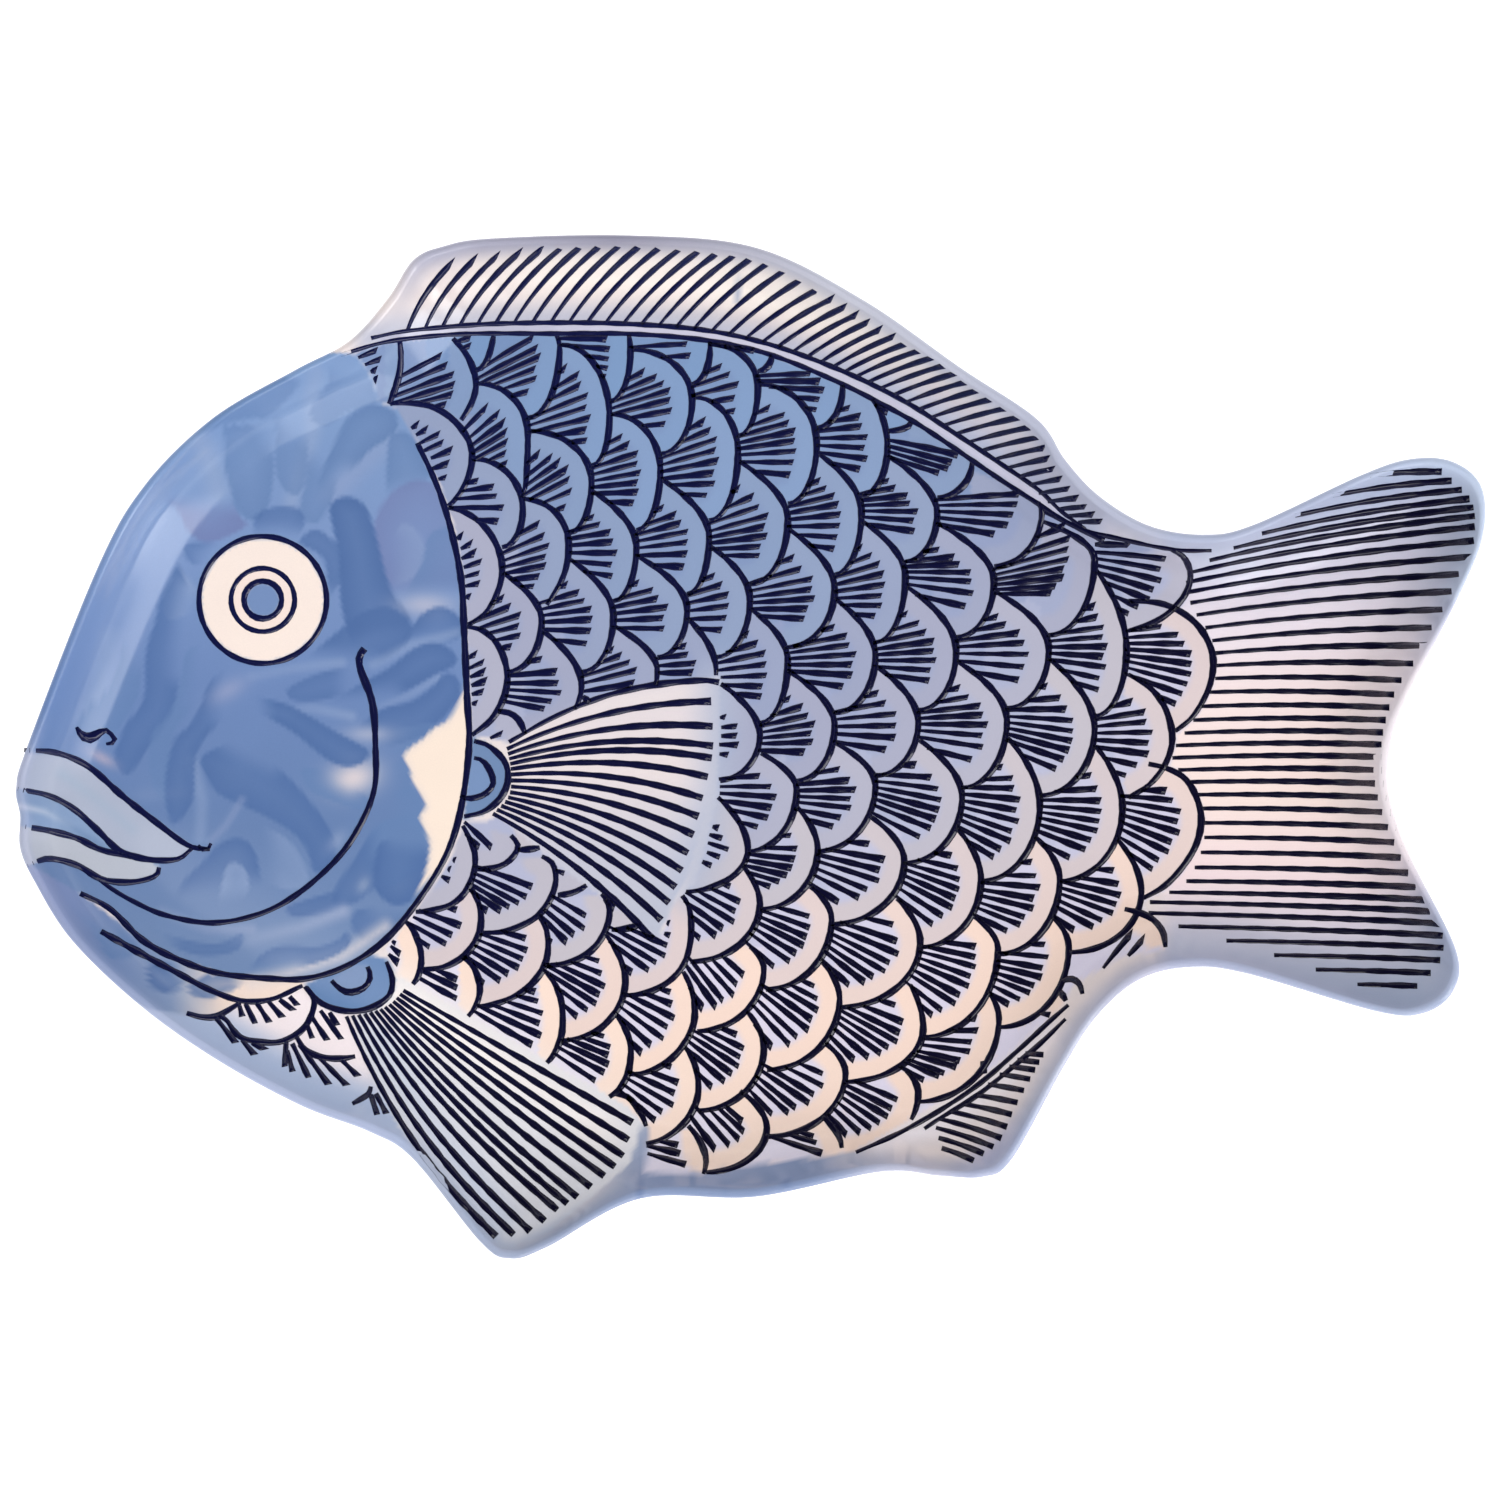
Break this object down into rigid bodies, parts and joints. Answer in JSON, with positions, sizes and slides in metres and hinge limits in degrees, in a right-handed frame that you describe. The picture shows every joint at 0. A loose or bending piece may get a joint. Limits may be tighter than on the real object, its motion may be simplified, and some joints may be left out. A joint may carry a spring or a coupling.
{
  "type": "fish shaped platter",
  "caption": "Shallow serving platter in the outline of a whole fish, with a rolled lip, a foot ring and blue and white printed scales, fins and face.",
  "frame": {"origin": "on the table, under the middle of the platter's length and width", "axes": "X runs from the fish's lips (-) to its tail (+), Y from its belly (-) to its back fin (+), Z from the table up to the lip"},
  "size_m": [0.356, 0.248, 0.0221],
  "materials": {
    "white_melamine": "gloss",
    "printed_foil": "gloss",
    "navy_ink": "gloss"
  },
  "bodies": {
    "root": {"platter_body": "white_melamine", "print_foil": "printed_foil", "eye_ink": "navy_ink", "mouth_ink": "navy_ink", "cheek_ink": "navy_ink", "gill_ink": "navy_ink", "scale_ink": "navy_ink", "back_fin_ink": "navy_ink", "side_fin_ink": "navy_ink", "belly_fin_ink": "navy_ink", "anal_fin_ink": "navy_ink", "tail_fin_ink": "navy_ink"}
  },
  "joints": []
}
